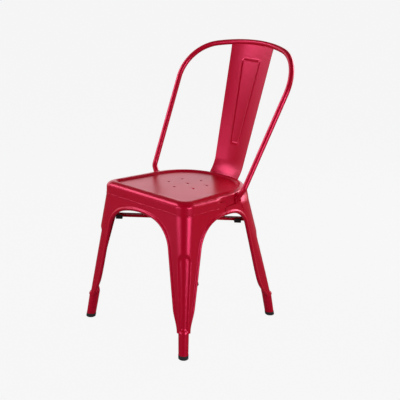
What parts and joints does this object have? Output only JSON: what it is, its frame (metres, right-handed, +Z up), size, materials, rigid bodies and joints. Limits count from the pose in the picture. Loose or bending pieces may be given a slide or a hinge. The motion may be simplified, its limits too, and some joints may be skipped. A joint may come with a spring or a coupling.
{
  "type": "stacking chair",
  "caption": "Stacking metal side chair: pressed sheet seat on tapered pressed legs joined by arches, with a bent-tube back hoop and a central sheet splat.",
  "frame": {"origin": "on the floor under the middle of the whole chair, seen from above", "axes": "+X to the sitter's left, +Y from the front of the seat to the back, +Z up"},
  "size_m": [0.4436, 0.5041, 0.85],
  "materials": {
    "red_paint": "satin-gloss powder coat",
    "bumper_plastic": "matt black",
    "foot_rubber": "matt black"
  },
  "bodies": {
    "root": {"seat_pan": "red_paint", "front_left_leg": "red_paint", "front_right_leg": "red_paint", "rear_left_leg": "red_paint", "rear_right_leg": "red_paint", "back_hoop": "red_paint", "back_splat": "red_paint", "brace_bar_upper": "red_paint", "brace_bar_lower": "red_paint", "brace_spacer": "red_paint", "brace_rivet": "red_paint", "stacking_bumper_front_left": "bumper_plastic", "stacking_bumper_front_right": "bumper_plastic", "stacking_bumper_rear_left": "bumper_plastic", "stacking_bumper_rear_right": "bumper_plastic", "foot_cap_front_left": "foot_rubber", "foot_cap_front_right": "foot_rubber", "foot_cap_rear_left": "foot_rubber", "foot_cap_rear_right": "foot_rubber"}
  },
  "joints": []
}
